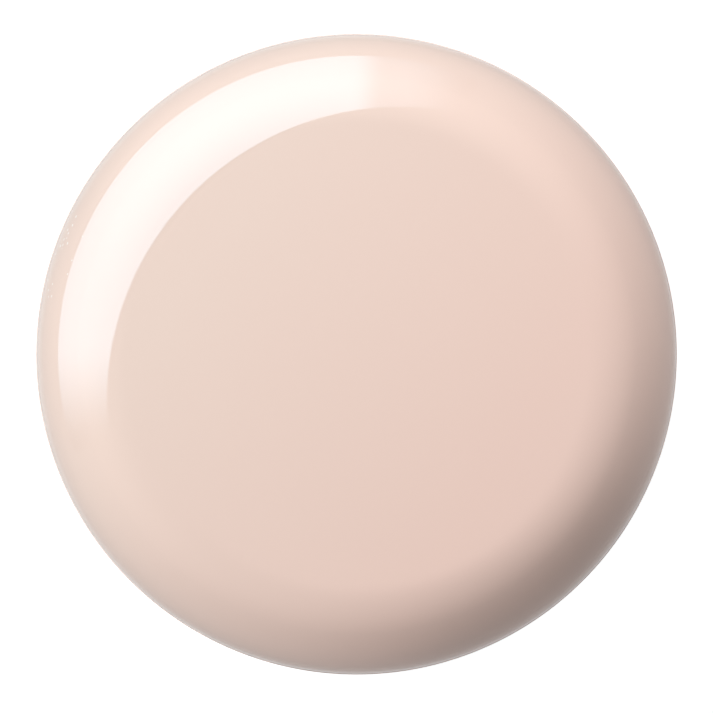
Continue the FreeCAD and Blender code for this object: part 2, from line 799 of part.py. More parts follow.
def join_path(sketch, first, last, corners):
    """Close an outline with straight lines from the end of one arc to the start of another."""
    spots = [Vector(across.value, up.value, 0) for across, up in corners]
    lines = [sketch.addGeometry(Part.LineSegment(spots[i], spots[i + 1]), False)
             for i in range(len(spots) - 1)]
    sketch.addConstraint(Sketcher.Constraint("Coincident", first, 2, lines[0], 1))
    for i in range(len(lines) - 1):
        sketch.addConstraint(Sketcher.Constraint("Coincident", lines[i], 2, lines[i + 1], 1))
        pin_point(sketch, lines[i], 2, *corners[i + 1])
    sketch.addConstraint(Sketcher.Constraint("Coincident", lines[-1], 2, last, 1))
    return lines


def dome_cap():
    """Solid dome with a spigot, then hollowed from below."""
    body = new_body("dome_cap")
    spigot_bottom = dim.sleeve_ledge + dim.insert_flange
    outline = new_sketch(body, "dome_outline", "XZ_Plane")
    side_arc, crown_arc = draw_dome_arcs(outline, as_size(0), 0.0)
    top = dim.sleeve_top + dim.dome_height
    join_path(outline, crown_arc, side_arc, [
        (AXIS, top),
        (AXIS, spigot_bottom),
        (dim.sleeve_counterbore, spigot_bottom),
        (dim.sleeve_counterbore, dim.sleeve_top),
        (dim.dome_radius, dim.sleeve_top),
    ])
    pin_coordinate(outline, "DistanceY", -1, side_arc, 1, dim.sleeve_top)
    turn_sketch(body, "dome_solid", outline)
    hollow = new_sketch(body, "hollow_outline", "XZ_Plane")
    inner_side = dim.dome_side - dim.dome_wall
    reach = (dim.spigot_inner - dim.dome_radius + dim.dome_side).value
    start = math.acos(reach / inner_side.value)
    side_arc, crown_arc = draw_dome_arcs(hollow, dim.dome_wall, start)
    meeting = dim.sleeve_top.value + inner_side.value * math.sin(start)
    lines = join_path(hollow, crown_arc, side_arc, [
        (AXIS, top - dim.dome_wall),
        (AXIS, spigot_bottom),
        (dim.spigot_inner, spigot_bottom),
        (dim.spigot_inner, as_size(meeting)),
    ])
    hollow.addConstraint(Sketcher.Constraint("Vertical", lines[-1]))
    turn_sketch(body, "dome_hollow", hollow, "PartDesign::Groove")
    chamfer(body, "spigot_edge", [(dim.sleeve_counterbore, spigot_bottom)],
            dim.spigot_chamfer)
    return body


# ---------------------------------------------------------------- build and write

def build():
    stem = brush_stem()
    tuft = brush_tuft()
    anchor = brush_anchor()
    balls = [mixing_ball("mixing_ball_1", 1), mixing_ball("mixing_ball_2", -1)]
    return [
        glass_bottle(),
        polish([stem, tuft, anchor] + balls),
        base_label(),
        neck_collar(),
        balls[0],
        balls[1],
        sealing_washer(),
        plug_seal(),
        inner_cap(),
        grip_ring(),
        stem,
        anchor,
        tuft,
        over_cap_sleeve(),
        trim_ring(),
        cap_insert(),
        cap_weight(),
        foam_pad(),
        dome_cap(),
    ]


def check(items):
    for item in doc.Objects:
        bad = [word for word in item.State if word in ("Invalid", "Error")]
        if bad:
            raise RuntimeError(f"{item.Name} is {bad}")
    for item in items:
        if item.Shape.isNull() or not item.Shape.isValid():
            raise RuntimeError(f"{item.Label} has no valid shape")
        if len(item.Shape.Solids) != 1:
            raise RuntimeError(f"{item.Label} has {len(item.Shape.Solids)} solids")


parts = build()
doc.recompute()
check(parts)
os.makedirs("parts", exist_ok=True)
for part in parts:
    part.Shape.exportStep(os.path.join("parts", f"{part.Label}.step"))
    box = part.Shape.BoundBox
    print(f"{part.Label:18s} volume {part.Shape.Volume:9.2f}  "
          f"z {box.ZMin:7.3f} to {box.ZMax:7.3f}  r {box.XMax:6.3f}")
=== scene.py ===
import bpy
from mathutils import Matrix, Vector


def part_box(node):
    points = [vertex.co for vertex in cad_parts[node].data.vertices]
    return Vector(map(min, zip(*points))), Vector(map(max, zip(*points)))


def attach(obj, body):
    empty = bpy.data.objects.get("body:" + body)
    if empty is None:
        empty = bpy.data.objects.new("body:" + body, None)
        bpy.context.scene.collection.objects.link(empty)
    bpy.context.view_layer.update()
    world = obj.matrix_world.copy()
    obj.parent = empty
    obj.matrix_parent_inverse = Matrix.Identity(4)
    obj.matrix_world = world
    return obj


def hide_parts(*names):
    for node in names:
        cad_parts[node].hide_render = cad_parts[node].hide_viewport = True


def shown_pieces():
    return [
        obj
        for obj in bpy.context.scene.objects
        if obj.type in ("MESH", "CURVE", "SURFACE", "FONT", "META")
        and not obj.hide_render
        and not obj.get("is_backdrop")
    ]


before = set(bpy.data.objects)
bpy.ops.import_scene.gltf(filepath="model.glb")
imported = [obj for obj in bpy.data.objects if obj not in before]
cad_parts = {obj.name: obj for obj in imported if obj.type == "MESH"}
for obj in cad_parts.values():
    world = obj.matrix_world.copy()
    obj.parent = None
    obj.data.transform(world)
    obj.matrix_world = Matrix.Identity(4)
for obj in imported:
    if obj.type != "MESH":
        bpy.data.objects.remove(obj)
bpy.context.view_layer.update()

import math
import random

import bmesh
import bpy
from mathutils import Vector

MM = 0.001
TURN = 2 * math.pi
SMOOTH_ANGLE = math.radians(32)
# segments around the pieces that are turned: wide, ordinary and small ones
WIDE_SEGMENTS = 256
SEGMENTS = 192
SMALL_SEGMENTS = 128

# ------------------------------------------------------------- sizes, in mm
# Most heights come from the CAD frame's own boxes, and the other sizes repeat the frame's.


def low(node):
    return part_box(node)[0][2] / MM


def high(node):
    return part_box(node)[1][2] / MM


# the dome's foot is a hair wider than in the frame, to narrow the seam above the sleeve
DOME_R = 16.96
DOME_CROWN = 126.0
DOME_ROLL = 3.8
DOME_SIDE = 9.7
DOME_WALL = 1.6
DOME_FOOT = high("over_cap_sleeve")
DOME_TOP = high("dome_cap")
ARC_STEPS = 60
SPIGOT_R = 15.65
SPIGOT_INNER_R = 14.2
SPIGOT_BEVEL = 0.3

SLEEVE_R = 17.0
SLEEVE_INNER_R = 15.3
TRIM_INNER_R = 16.2
TRIM_HEIGHT = 2.2
LEDGE_Z = 49.0
FLANGE_TOP_Z = 50.6
INSERT_R = 9.7
INSERT_BORE_R = 8.45
INSERT_BOTTOM_Z = 41.0
INSERT_TOP_Z = 58.9
WEIGHT_INNER_R = 9.8
WEIGHT_R = 14.0
WEIGHT_TOP_Z = 55.6
PAD_R = 7.5

GLASS_R = 16.7
INNER_R = 14.5
NECK_R = 5.75
BORE_R = 3.6
FLOOR_Z = low("polish")
CEILING_Z = 27.6
SHOULDER = low("neck_collar")
RIM = high("glass_bottle")
PITCH = 2.117
THREAD_START = 39.9
COLLAR_R = 15.0
COLLAR_WALL = 1.2
HUB_R = 6.95

STEM_R = 2.0
BARB_R = 2.3
BARB_Z = 48.6
BARB_HALF = 0.5
FLANGE_R = 6.2
FLANGE_Z = 44.8
SEAT_Z = 46.0
STEM_TOP_Z = 52.0
SOCKET_R = 1.4
SOCKET_DEPTH = 3.4
PLUG_BORE_R = 2.05
PLUG_R = 3.45
WASHER_INNER_R = 3.7

CAP_R = 8.0
CAP_BORE_R = 6.75
CAP_HOLLOW_R = 5.7
CAP_ROOF = 1.5
BOSS_R = 3.4
INNER_CAP_TOP_Z = 57.5
RIB_COUNT = 24
RING_R = 7.75
RING_SECTION = 0.6


# ------------------------------------------------------------- mesh helpers

def ease(share):
    """Smooth step from 0 to 1."""
    share = max(0.0, min(1.0, share))
    return share * share * (3 - 2 * share)


def fillet_corner(before, corner, after, radius, steps=10):
    """Points of the arc that rounds one corner of an outline."""
    a, b, c = Vector(before), Vector(corner), Vector(after)
    back, ahead = (a - b).normalized(), (c - b).normalized()
    half = math.acos(max(-1.0, min(1.0, back.dot(ahead)))) / 2
    reach = radius / math.tan(half)
    centre = b + (back + ahead).normalized() * (radius / math.sin(half))
    start, end = b + back * reach - centre, b + ahead * reach - centre
    first = math.atan2(start.y, start.x)
    sweep = math.atan2(end.y, end.x) - first
    sweep = (sweep + math.pi) % TURN - math.pi
    return [(centre.x + radius * math.cos(first + sweep * i / steps),
             centre.y + radius * math.sin(first + sweep * i / steps)) for i in range(steps + 1)]


def outline(corners):
    """A closed outline of (radius, height[, rounding]) corners, with arcs put in."""
    points = []
    count = len(corners)
    for i, corner in enumerate(corners):
        if len(corner) == 2:
            points.append(corner)
            continue
        before, after = corners[i - 1][:2], corners[(i + 1) % count][:2]
        points.extend(fillet_corner(before, corner[:2], after, corner[2]))
    return points


def add_lathe(bm, points, segments=SEGMENTS):
    """Turns a closed outline in mm around Z; points on the axis become poles."""
    rings = []
    for radius, height in points:
        if radius < 1e-6:
            rings.append([bm.verts.new((0, 0, height * MM))])
            continue
        rings.append([bm.verts.new((radius * MM * math.cos(TURN * k / segments),
                                    radius * MM * math.sin(TURN * k / segments),
                                    height * MM)) for k in range(segments)])
    for i, ring in enumerate(rings):
        following = rings[(i + 1) % len(rings)]
        if len(ring) == 1 and len(following) == 1:
            continue
        for k in range(segments):
            nxt = (k + 1) % segments
            corners = [ring[k % len(ring)], ring[nxt % len(ring)],
                       following[nxt % len(following)], following[k % len(following)]]
            face = []
            for vert in corners:
                if vert not in face:
                    face.append(vert)
            bm.faces.new(face)


def add_helix(bm, section, start, turns):
    """A thread ridge: a section of (radius, height offset) swept up a helix, fading at its ends."""
    fade_turns = 0.12
    steps_per_turn = 90
    rings = []
    root = section[0][0]
    count = int(steps_per_turn * turns)
    for i in range(count + 1):
        along = i / count
        angle = TURN * turns * along
        swell = ease(min(along, 1 - along) * turns / fade_turns)
        ring = []
        for radius, offset in section:
            r = root + (radius - root) * (0.02 + 0.98 * swell)
            z = start + PITCH * turns * along + offset * (0.4 + 0.6 * swell)
            ring.append(bm.verts.new((r * MM * math.cos(angle), r * MM * math.sin(angle), z * MM)))
        rings.append(ring)
    skin_rings(bm, rings)


def skin_rings(bm, rings):
    """Walls between closed rings of vertices, and a cap at each end."""
    size = len(rings[0])
    for one, two in zip(rings, rings[1:]):
        for k in range(size):
            bm.faces.new((one[k], one[(k + 1) % size], two[(k + 1) % size], two[k]))
    bm.faces.new(rings[0])
    bm.faces.new(list(reversed(rings[-1])))


def finish_mesh(name, bm, material):
    bmesh.ops.remove_doubles(bm, verts=bm.verts, dist=1e-8)
    bmesh.ops.recalc_face_normals(bm, faces=bm.faces)
    mesh = bpy.data.meshes.new(name)
    bm.to_mesh(mesh)
    bm.free()
    mesh.shade_smooth()
    mesh.set_sharp_from_angle(angle=SMOOTH_ANGLE)
    mesh.materials.append(material)
    obj = bpy.data.objects.new(name, mesh)
    bpy.context.scene.collection.objects.link(obj)
    return obj


def lathe(name, corners, material, segments=SEGMENTS):
    bm = bmesh.new()
    add_lathe(bm, outline(corners), segments)
    return finish_mesh(name, bm, material)


def place(obj, body, *nodes, slot):
    """The piece rides on a body and may stand for CAD nodes; its slot argument is not used."""
    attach(obj, body)
    if nodes:
        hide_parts(*nodes)


def unite(obj, tool):
    """Merges a second closed mesh into the first, for one clean skin."""
    modifier = obj.modifiers.new("unite", "BOOLEAN")
    modifier.operation = "UNION"
    modifier.solver = "EXACT"
    modifier.object = tool
    graph = bpy.context.evaluated_depsgraph_get()
    merged = bpy.data.meshes.new_from_object(obj.evaluated_get(graph))
    obj.modifiers.clear()
    obj.data = merged
    merged.shade_smooth()
    merged.set_sharp_from_angle(angle=SMOOTH_ANGLE)
    bpy.data.objects.remove(tool)


# ------------------------------------------------------------- material helpers

class Nodes:
    """Short calls for building one node tree."""

    def __init__(self, name):
        self.material = bpy.data.materials.new(name)
        self.material.use_nodes = True
        self.tree = self.material.node_tree
        self.shader = self.tree.nodes["Principled BSDF"]
        self.output = self.tree.nodes["Material Output"]
        self.place = self.tree.nodes.new("ShaderNodeTexCoord").outputs["Object"]

    def new(self, kind, **values):
        node = self.tree.nodes.new(kind)
        for key, value in values.items():
            if hasattr(node, key):
                setattr(node, key, value)
            else:
                node.inputs[key.replace("_", " ")].default_value = value
        return node

    def link(self, source, target):
        self.tree.links.new(source, target)

    def set(self, **values):
        for key, value in values.items():
            self.shader.inputs[key.replace("_", " ")].default_value = value

    def noise(self, scale, detail=2.0):
        node = self.new("ShaderNodeTexNoise", Scale=scale, Detail=detail)
        self.link(self.place, node.inputs["Vector"])
        return node.outputs["Fac"]

    def scaled_place(self, x, y, z):
        node = self.new("ShaderNodeMapping")
        node.inputs["Scale"].default_value = (x, y, z)
        self.link(self.place, node.inputs["Vector"])
        return node.outputs["Vector"]

    def ramp(self, fac, stops):
        node = self.new("ShaderNodeValToRGB")
        elements = node.color_ramp.elements
        elements[0].position, elements[0].color = stops[0]
        elements[1].position, elements[1].color = stops[-1]
        for position, color in stops[1:-1]:
            element = elements.new(position)
            element.color = color
        self.link(fac, node.inputs["Fac"])
        return node.outputs["Color"]

    def math(self, operation, a, b=None, clamp=False):
        node = self.new("ShaderNodeMath", operation=operation, use_clamp=clamp)
        for i, value in enumerate((a, b)):
            if value is None:
                continue
            if isinstance(value, (int, float)):
                node.inputs[i].default_value = value
            else:
                self.link(value, node.inputs[i])
        return node.outputs[0]

    def mix(self, fac, a, b):
        node = self.new("ShaderNodeMix", data_type="RGBA")
        for socket, value in ((node.inputs[0], fac), (node.inputs[6], a), (node.inputs[7], b)):
            if isinstance(value, (int, float, tuple)):
                socket.default_value = value
            else:
                self.link(value, socket)
        return node.outputs[2]

    def shine(self, strength, color=(1.0, 1.0, 1.0, 1.0)):
        """The material only gives light, of a strength that is a number or a socket."""
        light = self.new("ShaderNodeEmission", Color=color)
        if isinstance(strength, float):
            light.inputs["Strength"].default_value = strength
        else:
            self.link(strength, light.inputs["Strength"])
        self.link(light.outputs[0], self.output.inputs["Surface"])

    def bump(self, height, strength, distance):
        node = self.new("ShaderNodeBump", Strength=strength, Distance=distance)
        self.link(height, node.inputs["Height"])
        return node.outputs["Normal"]


def shade(srgb):
    """A linear colour from 0-255 display values."""
    def one(value):
        value /= 255
        return value / 12.92 if value <= 0.04045 else ((value + 0.055) / 1.055) ** 2.4
    return tuple(one(v) for v in srgb) + (1.0,)


def grey(value):
    return (value, value, value, 1.0)


# ------------------------------------------------------------- materials

# the small patch of pearl flakes on the flank of the dome, whose sparkle is painted in as near-white
# specks: its centre and reach in mm
GLINT_PATCH = (-15.6, 5.5, 56.2)
GLINT_PATCH_REACH = 3.0
COAT_IOR = 1.8


def nude_lacquer():
    """Glossy nude-pink lacquer: a creamy to pink drift that is a painted tint of the light, faint orange
    peel, one patch of pearl flakes whose sparkle is painted in as near-white specks.
    """
    n = Nodes("nude_lacquer")
    split = n.new("ShaderNodeSeparateXYZ")
    n.link(n.place, split.inputs[0])
    # painted tint of the light: the paint drifts from creamy towards the lit left to pinker towards the
    # shaded right
    across = n.math("SUBTRACT", split.outputs["X"], n.math("MULTIPLY", split.outputs["Y"], 0.6))
    drift = n.math("ADD", n.math("MULTIPLY", across, 45.0), 0.5, clamp=True)
    base = n.mix(drift, shade((237, 216, 204)), shade((238, 209, 197)))
    cloud = n.ramp(n.noise(90.0, 3.0), [(0.35, grey(0.0)), (0.7, grey(0.10))])
    base = n.mix(cloud, base, shade((238, 208, 198)))
    flake_glint = flake_glints(n)
    # painted glints: the flakes turn the paint near-white instead of sparkling in the light
    n.link(n.mix(flake_glint, base, shade((255, 253, 249))), n.shader.inputs["Base Color"])
    peel = n.bump(n.noise(420.0, 2.0), 0.05, 0.00002)
    n.link(peel, n.shader.inputs["Coat Normal"])
    n.set(Roughness=0.5, Specular_IOR_Level=0.0, Coat_Weight=1.0, Coat_Roughness=0.02,
          Coat_IOR=COAT_IOR)
    return n.material


def flake_glints(n):
    """Mask of the pearl flakes, whose sparkle is painted in as near-white specks; they get rarer away from
    the middle of their patch.
    """
    cells = n.new("ShaderNodeTexVoronoi", Scale=4600.0)
    n.link(n.place, cells.inputs["Vector"])
    picks = n.new("ShaderNodeSeparateColor")
    n.link(cells.outputs["Color"], picks.inputs[0])
    away = n.new("ShaderNodeVectorMath", operation="DISTANCE")
    n.link(n.place, away.inputs[0])
    away.inputs[1].default_value = [part * MM for part in GLINT_PATCH]
    far = n.math("DIVIDE", away.outputs["Value"], GLINT_PATCH_REACH * MM)
    near = n.math("SUBTRACT", 1.0, far, clamp=True)
    threshold = n.math("SUBTRACT", 1.0, n.math("MULTIPLY", near, 0.22))
    rare = n.math("GREATER_THAN", picks.outputs[0], threshold)
    core = n.math("LESS_THAN", cells.outputs["Distance"], 0.36)
    return n.math("MULTIPLY", rare, core)


def nude_polish():
    """Creamy liquid lacquer with slow swirls of a lighter tone."""
    n = Nodes("nude_polish")
    swirl = n.new("ShaderNodeTexNoise", Scale=70.0, Detail=3.0, Distortion=1.6)
    n.link(n.place, swirl.inputs["Vector"])
    base = n.ramp(swirl.outputs["Fac"], [(0.3, shade((244, 214, 202))), (0.7, shade((250, 228, 218)))])
    n.link(base, n.shader.inputs["Base Color"])
    n.set(Roughness=0.18, Coat_Weight=0.6, Coat_Roughness=0.05, Subsurface_Weight=0.15,
          Subsurface_Scale=0.002, Subsurface_Radius=(1.0, 0.5, 0.4))
    return n.material


def clear_glass():
    """Thick moulded glass with a faint waviness and a hint of green in its depth."""
    n = Nodes("clear_glass")
    wave = n.bump(n.noise(60.0, 2.0), 0.10, 0.0004)
    n.link(wave, n.shader.inputs["Normal"])
    smear = n.ramp(n.noise(140.0, 4.0), [(0.4, grey(0.0)), (0.8, grey(0.03))])
    n.link(smear, n.shader.inputs["Roughness"])
    n.set(Base_Color=(0.975, 0.99, 0.985, 1.0), Transmission_Weight=1.0, IOR=1.51)
    return n.material


def metal(name, color, rough, brushed, stretch=40.0):
    """Turned metal: fine lines around the axis; a stretch of 1 gives an even mottle instead."""
    n = Nodes(name)
    lines = n.new("ShaderNodeTexNoise", Scale=260.0, Detail=3.0)
    n.link(n.scaled_place(1.0, 1.0, stretch), lines.inputs["Vector"])
    tone = n.ramp(lines.outputs["Fac"], [(0.3, shade(tuple(c * 0.93 for c in color))), (0.7, shade(color))])
    n.link(tone, n.shader.inputs["Base Color"])
    vary = n.math("ADD", n.math("MULTIPLY", lines.outputs["Fac"], brushed), rough)
    n.link(vary, n.shader.inputs["Roughness"])
    n.link(n.bump(lines.outputs["Fac"], 0.15, 0.00002), n.shader.inputs["Normal"])
    n.set(Metallic=1.0)
    return n.material


def plastic(name, color, rough, grain=0.1, tint=0.94, subsurface=0.0):
    """Moulded plastic: fine grain, slight tone drift."""
    n = Nodes(name)
    drift = n.noise(120.0, 3.0)
    tone = n.ramp(drift, [(0.3, shade(tuple(c * tint for c in color))), (0.7, shade(color))])
    n.link(tone, n.shader.inputs["Base Color"])
    fine = n.noise(1500.0, 3.0)
    n.link(n.math("ADD", n.math("MULTIPLY", fine, 0.15), rough - 0.07), n.shader.inputs["Roughness"])
    n.link(n.bump(fine, grain, 0.00003), n.shader.inputs["Normal"])
    n.set(Subsurface_Weight=subsurface, Subsurface_Scale=0.001)
    return n.material


def foam(name, color):
    """Closed-cell foam: small pits, each painted darker towards its middle as painted shade."""
    n = Nodes(name)
    cells = n.new("ShaderNodeTexVoronoi", Scale=2600.0)
    n.link(n.place, cells.inputs["Vector"])
    # painted shade in the pits: darker towards the middle of each cell
    tone = n.ramp(cells.outputs["Distance"],
                  [(0.1, shade(tuple(c * 0.7 for c in color))), (0.5, shade(color))])
    n.link(tone, n.shader.inputs["Base Color"])
    n.link(n.bump(cells.outputs["Distance"], 0.5, 0.0001), n.shader.inputs["Normal"])
    n.set(Roughness=0.9)
    return n.material


def paper():
    """Blank label paper with faint fibres."""
    n = Nodes("label_paper")
    fibres = n.new("ShaderNodeTexNoise", Scale=900.0, Detail=6.0)
    n.link(n.scaled_place(1.0, 0.35, 1.0), fibres.inputs["Vector"])
    tone = n.ramp(fibres.outputs["Fac"], [(0.3, shade((226, 221, 213))), (0.7, shade((243, 240, 234)))])
    n.link(tone, n.shader.inputs["Base Color"])
    n.link(n.bump(fibres.outputs["Fac"], 0.25, 0.00004), n.shader.inputs["Normal"])
    n.set(Roughness=0.8)
    return n.material


def wet_bristle():
    """Dark nylon at the stem, coated in polish lower down, with an uneven edge between the two."""
    coated_below, dry_above, unevenness = 0.0028, 0.0005, 0.0018
    n = Nodes("bristles")
    split = n.new("ShaderNodeSeparateXYZ")
    n.link(n.place, split.inputs[0])
    height = n.new("ShaderNodeMapRange")
    height.inputs["From Min"].default_value = low("brush_stem") * MM - coated_below
    height.inputs["From Max"].default_value = low("brush_stem") * MM - dry_above
    wobble = n.math("MULTIPLY", n.noise(700.0), unevenness)
    wobble = n.math("SUBTRACT", wobble, unevenness / 2)
    n.link(n.math("SUBTRACT", split.outputs["Z"], wobble), height.inputs["Value"])
    tone = n.mix(height.outputs[0], shade((233, 203, 190)), shade((58, 48, 46)))
    n.link(tone, n.shader.inputs["Base Color"])
    n.set(Roughness=0.22, Coat_Weight=0.7, Coat_Roughness=0.06)
    return n.material


# ------------------------------------------------------------- the dome

def dome_arc_centres():
    """Centres of the crown, roll and side arcs, in mm."""
    crown = Vector((0.0, DOME_TOP - DOME_CROWN))
    side = Vector((DOME_R - DOME_SIDE, DOME_FOOT))
    gap = side - crown
    far, near = DOME_CROWN - DOME_ROLL, DOME_SIDE - DOME_ROLL
    along = (far * far - near * near + gap.length_squared) / (2 * gap.length)
    off = math.sqrt(far * far - along * along)
    unit = gap.normalized()
    roll = crown + unit * along + Vector((unit.y, -unit.x)) * off
    return crown, roll, side


def dome_surface(radius):
    """Height in mm and slope in radians of the outside of the dome at a distance from the axis."""
    crown, roll, side = dome_arc_centres()
    crown_end = roll.x + DOME_ROLL * (roll.x - crown.x) / (DOME_CROWN - DOME_ROLL)
    roll_end = roll.x + DOME_ROLL * (roll.x - side.x) / (DOME_SIDE - DOME_ROLL)
    if radius <= crown_end:
        centre, arc = crown, DOME_CROWN
    elif radius <= roll_end:
        centre, arc = roll, DOME_ROLL
    else:
        centre, arc = side, DOME_SIDE
    slope = math.asin(min(1.0, (radius - centre.x) / arc))
    return centre.y + arc * math.cos(slope), slope


def dome_points(inset, last_radius):
    """Outline of the dome from the axis outwards, at a depth below the outside."""
    crown, roll, side = dome_arc_centres()
    to_roll = math.atan2(roll.x - crown.x, roll.y - crown.y)
    to_side = math.atan2(roll.x - side.x, roll.y - side.y)
    last = math.asin(min(1.0, (last_radius - side.x) / (DOME_SIDE - inset)))
    points = []
    spans = [(crown, DOME_CROWN, 0.0, to_roll), (roll, DOME_ROLL, to_roll, to_side),
             (side, DOME_SIDE, to_side, last)]
    for centre, radius, start, end in spans:
        for i in range(ARC_STEPS):
            angle = start + (end - start) * i / ARC_STEPS
            points.append((centre.x + (radius - inset) * math.sin(angle),
                           centre.y + (radius - inset) * math.cos(angle)))
    points.append((side.x + (DOME_SIDE - inset) * math.sin(last),
                   side.y + (DOME_SIDE - inset) * math.cos(last)))
    return points


def build_dome(material):
    """The lacquered dome, hollow under its crown, with a bevelled spigot that sits in the sleeve."""
    foot = low("dome_cap")
    spigot = [(SPIGOT_R, DOME_FOOT), (SPIGOT_R, foot + SPIGOT_BEVEL), (SPIGOT_R - SPIGOT_BEVEL, foot),
              (SPIGOT_INNER_R, foot)]
    hollow = dome_points(DOME_WALL, SPIGOT_INNER_R)
    bm = bmesh.new()
    add_lathe(bm, dome_points(0.0, DOME_R) + spigot + list(reversed(hollow)), WIDE_SEGMENTS)
    obj = finish_mesh("dome_cap_skin", bm, material)
    place(obj, "over_cap", "dome_cap", slot="nude_lacquer")


# ------------------------------------------------------------- bottle pieces

def build_glass(material):
    """The bottle with its threaded neck; the recess under it leaves a hair of air above the label."""
    recess = 0.83
    obj = lathe("glass_skin", [
        (0, recess), (11.0, recess, 0.25), (11.5, 0, 0.35), (GLASS_R, 0, 3.0), (GLASS_R, SHOULDER, 1.6),
        (NECK_R, SHOULDER, 0.25), (NECK_R, RIM, 0.35), (BORE_R, RIM, 0.35), (BORE_R, CEILING_Z, 1.0),
        (INNER_R, CEILING_Z, 3.0), (INNER_R, FLOOR_Z, 4.0), (0, FLOOR_Z),
    ], material)
    bm = bmesh.new()
    add_helix(bm, [(5.45, -0.8), (6.45, -0.3), (6.45, 0.3), (5.45, 0.8)], THREAD_START, 1.15)
    unite(obj, finish_mesh("thread_tool", bm, material))
    place(obj, "bottle", "glass_bottle", slot="clear_glass")


def build_polish(material):
    """The liquid, a hair into the wall of the glass, with a meniscus that climbs the wall."""
    level = high("polish")
    overlap = 0.05
    wall, bottom = INNER_R + overlap, FLOOR_Z - overlap
    obj = lathe("polish_skin", [
        (0, bottom), (wall, bottom, 4.0), (wall, level + 0.35), (wall - 0.12, level + 0.32),
        (wall - 0.4, level + 0.14), (wall - 0.9, level + 0.03), (wall - 1.6, level), (0, level),
    ], material)
    place(obj, "bottle", "polish", slot="nude_polish")


def build_collar(material):
    """The plated shoulder cover: a thin shell with a hub, and a shallow groove on top."""
    top = high("neck_collar")
    under = top - COLLAR_WALL
    groove = top - 0.15
    obj = lathe("collar_skin", [
        (NECK_R, SHOULDER), (HUB_R, SHOULDER), (HUB_R, under, 0.3), (COLLAR_R - COLLAR_WALL, under, 0.3),
        (COLLAR_R - COLLAR_WALL, SHOULDER, 0.1), (COLLAR_R, SHOULDER, 0.15), (COLLAR_R, top, 0.6),
        (9.5, top, 0.1), (9.3, groove, 0.1), (8.9, groove, 0.1), (8.7, top, 0.1), (NECK_R, top, 0.2),
    ], material)
    place(obj, "bottle", "neck_collar", slot="champagne_metal")


def build_balls(material):
    for name in ("mixing_ball_1", "mixing_ball_2"):
        lower, upper = (Vector(corner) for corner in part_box(name))
        bm = bmesh.new()
        bmesh.ops.create_icosphere(bm, subdivisions=5, radius=(upper.z - lower.z) / 2)
        bmesh.ops.translate(bm, verts=bm.verts, vec=(lower + upper) / 2)
        place(finish_mesh(f"{name}_skin", bm, material), name, name, slot="ball_steel")


# ------------------------------------------------------------- seals and applicator

def build_seals(washer_material, plug_material):
    """The loose liner on the rim, and the soft tube with a tapered lip that wipes the stem."""
    bottom, top = low("sealing_washer"), high("sealing_washer")
    washer = lathe("washer_skin", [
        (WASHER_INNER_R, bottom, 0.1), (FLANGE_R, bottom, 0.2), (FLANGE_R, top, 0.2),
        (WASHER_INNER_R, top, 0.1),
    ], washer_material, SMALL_SEGMENTS)
    place(washer, "rim_seal", "sealing_washer", slot="seal_foam")
    bottom, top = low("plug_seal"), high("plug_seal")
    plug = lathe("plug_skin", [
        (PLUG_BORE_R, bottom), (2.9, bottom, 0.15), (PLUG_R, bottom + 0.8, 0.3), (PLUG_R, top, 0.1),
        (PLUG_BORE_R, top),
    ], plug_material, SMALL_SEGMENTS)
    place(plug, "bore_seal", "plug_seal", slot="seal_plastic")


def build_inner_cap(material):
    """The ribbed screw cap: a dished top, a groove for the ring, a boss on the stem and a thread."""
    bottom, top = low("inner_cap"), high("inner_cap")
    ring = high("grip_ring") - RING_SECTION
    groove_r = RING_R - RING_SECTION
    under_ring, over_ring = ring - RING_SECTION, ring + RING_SECTION
    dish = top - 0.25
    roof = top - CAP_ROOF
    bm = bmesh.new()
    add_lathe(bm, outline([
        (CAP_BORE_R, bottom, 0.15), (CAP_R, bottom, 0.25), (CAP_R, under_ring, 0.1),
        (groove_r, under_ring), (groove_r, over_ring), (CAP_R, over_ring, 0.1), (CAP_R, top, 1.0),
        (4.6, top, 0.1), (4.4, dish, 0.1), (0, dish), (0, STEM_TOP_Z), (STEM_R, STEM_TOP_Z),
        (STEM_R, BARB_Z + BARB_HALF), (BARB_R, BARB_Z), (STEM_R, BARB_Z - BARB_HALF), (STEM_R, SEAT_Z),
        (BOSS_R, SEAT_Z), (BOSS_R, roof, 0.3), (CAP_HOLLOW_R, roof, 0.3), (CAP_HOLLOW_R, SEAT_Z),
        (CAP_BORE_R, SEAT_Z),
    ]))
    shell = finish_mesh("inner_cap_skin", bm, material)
    bm = bmesh.new()
    section = [(7.05, -0.66), (5.95, -0.25), (5.95, 0.25), (7.05, 0.66)]
    add_helix(bm, section, THREAD_START - PITCH / 2, 0.95)
    unite(shell, finish_mesh("cap_thread_tool", bm, material))
    place(shell, "applicator", "inner_cap", slot="inner_cap_plastic")
    ribs = bmesh.new()
    for k in range(RIB_COUNT):
        add_rib(ribs, TURN * k / RIB_COUNT)
    rib_piece = finish_mesh("inner_cap_ribs", ribs, material)
    place(rib_piece, "applicator", slot="inner_cap_plastic")


def add_rib(bm, angle):
    """A rounded grip rib with domed ends, standing on the wall of the inner cap."""
    bottom, top, end_length = 36.4, 51.6, 0.6
    foot_r, height, half_width = 7.93, 0.37, 0.55
    steps_up, steps_across = 24, 8
    rings = []
    for i in range(steps_up + 1):
        z = bottom + (top - bottom) * (i / steps_up)
        end = min(1.0, min(z - bottom, top - z) / end_length)
        swell = math.sqrt(max(0.0, 1 - (1 - end) ** 2))
        ring = []
        for k in range(steps_across + 1):
            side = -1 + 2 * k / steps_across
            lift = math.sqrt(max(0.0, 1 - side * side)) * swell
            radius = foot_r + height * lift
            offset = side * half_width * (0.35 + 0.65 * swell) / radius
            ring.append(bm.verts.new((radius * MM * math.cos(angle + offset),
                                      radius * MM * math.sin(angle + offset), z * MM)))
        rings.append(ring)
    skin_rings(bm, rings)


